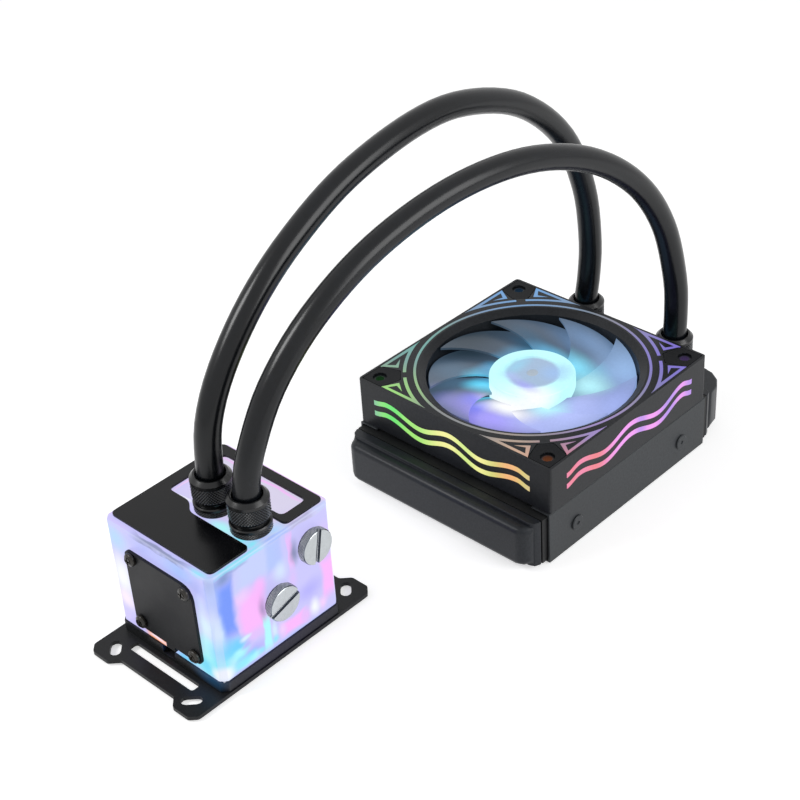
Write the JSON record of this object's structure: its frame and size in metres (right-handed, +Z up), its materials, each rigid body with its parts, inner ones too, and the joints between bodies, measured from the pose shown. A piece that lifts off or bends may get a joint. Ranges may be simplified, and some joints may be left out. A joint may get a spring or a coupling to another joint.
{
  "type": "all in one cpu liquid cooler",
  "caption": "Closed-loop liquid cooler: pump and reservoir block on a cold plate, joined by two hoses to a radiator that carries a lit fan.",
  "frame": {"origin": "centre of the cold plate's contact face", "axes": "+Z up off the contact face, +Y from the pump block towards the radiator, +X towards the face with the fill plugs"},
  "size_m": [0.122, 0.3251, 0.1981],
  "materials": {
    "bracket_steel": "satin black paint",
    "screw_steel": "black oxide",
    "copper": "machined copper",
    "seal_rubber": "matt",
    "skirt_plastic": "matt black",
    "circuit_board": "white solder mask",
    "block_acrylic": "frosted clear acrylic, lit from below",
    "trim_black": "fine matt black",
    "cover_black": "satin black paint",
    "motor_housing": "matt",
    "impeller_plastic": "matt",
    "plug_metal": "polished",
    "fitting_black": "black plated brass",
    "hose_rubber": "smooth satin",
    "radiator_aluminium": "black painted aluminium",
    "fan_plastic": "satin black",
    "pad_rubber": "fine dots",
    "rotor_plastic": "frosted milky plastic, lit",
    "magnet": "matt",
    "shaft_steel": "ground",
    "bearing_bronze": "sintered bronze",
    "winding": "enamelled copper wire"
  },
  "bodies": {
    "cooler": {"base_screw_1": "screw_steel", "base_screw_2": "screw_steel", "base_screw_3": "screw_steel", "base_screw_4": "screw_steel", "base_skirt": "skirt_plastic", "cold_plate": "copper", "cold_plate_seal": "seal_rubber", "corner_pad_1": "pad_rubber", "corner_pad_2": "pad_rubber", "corner_pad_3": "pad_rubber", "corner_pad_4": "pad_rubber", "cover_screw_1": "screw_steel", "cover_screw_2": "screw_steel", "cover_screw_3": "screw_steel", "cover_screw_4": "screw_steel", "fan_bearing": "bearing_bronze", "fan_frame": "fan_plastic", "fan_light_board": "circuit_board", "fan_stator": "winding", "fitting_base_block_rear": "fitting_black", "fitting_base_block_side": "fitting_black", "fitting_base_tank_rear": "fitting_black", "fitting_base_tank_side": "fitting_black", "fitting_collar_block_rear": "fitting_black", "fitting_collar_block_side": "fitting_black", "fitting_collar_tank_rear": "fitting_black", "fitting_collar_tank_side": "fitting_black", "front_tank": "radiator_aluminium", "hose_rear": "hose_rubber", "hose_side": "hose_rubber", "light_board": "circuit_board", "mounting_bracket": "bracket_steel", "pump_cover": "cover_black", "pump_motor": "motor_housing", "pump_seal": "seal_rubber", "radiator_core": "radiator_aluminium", "rear_tank": "radiator_aluminium", "reservoir_block": "block_acrylic", "rivet_left_1": "radiator_aluminium", "rivet_left_2": "radiator_aluminium", "rivet_right_1": "radiator_aluminium", "rivet_right_2": "radiator_aluminium", "side_plate_left": "radiator_aluminium", "side_plate_right": "radiator_aluminium", "top_trim_plate": "trim_black"},
    "fan_wheel": {"fan_rotor": "rotor_plastic", "magnet_ring": "magnet", "fan_shaft": "shaft_steel"},
    "impeller": {"pump_impeller": "impeller_plastic"},
    "upper_seal": {"plug_seal_upper": "seal_rubber"},
    "upper_plug": {"fill_plug_upper": "plug_metal"},
    "lower_seal": {"plug_seal_lower": "seal_rubber"},
    "lower_plug": {"fill_plug_lower": "plug_metal"}
  },
  "joints": [
    {"name": "fan_spin", "type": "hinge", "parent": "cooler", "child": "fan_wheel", "pos_m": [0.0244, 0.1826, 0.041], "axis": [0, 0, 1], "continuous": true},
    {"name": "pump_spin", "type": "hinge", "parent": "cooler", "child": "impeller", "pos_m": [0.0022, -0.018, 0.0352], "axis": [0, 1, 0], "continuous": true},
    {"name": "upper_plug_travel", "type": "slide", "parent": "cooler", "child": "upper_seal", "axis": [1, 0, 0], "range_m": [0, 0.0054]},
    {"name": "upper_plug_turn", "type": "hinge", "parent": "upper_seal", "child": "upper_plug", "pos_m": [0.0375, 0.0214, 0.0502], "axis": [1, 0, 0], "range_deg": [0, 1440]},
    {"name": "lower_plug_travel", "type": "slide", "parent": "cooler", "child": "lower_seal", "axis": [1, 0, 0], "range_m": [0, 0.0054]},
    {"name": "lower_plug_turn", "type": "hinge", "parent": "lower_seal", "child": "lower_plug", "pos_m": [0.0375, -0.0001, 0.0328], "axis": [1, 0, 0], "range_deg": [0, 1440]}
  ],
  "couplings": [
    {"joint": "upper_plug_travel", "follows": "upper_plug_turn", "m_per_rad": 0.00021279},
    {"joint": "lower_plug_travel", "follows": "lower_plug_turn", "m_per_rad": 0.00021279}
  ]
}
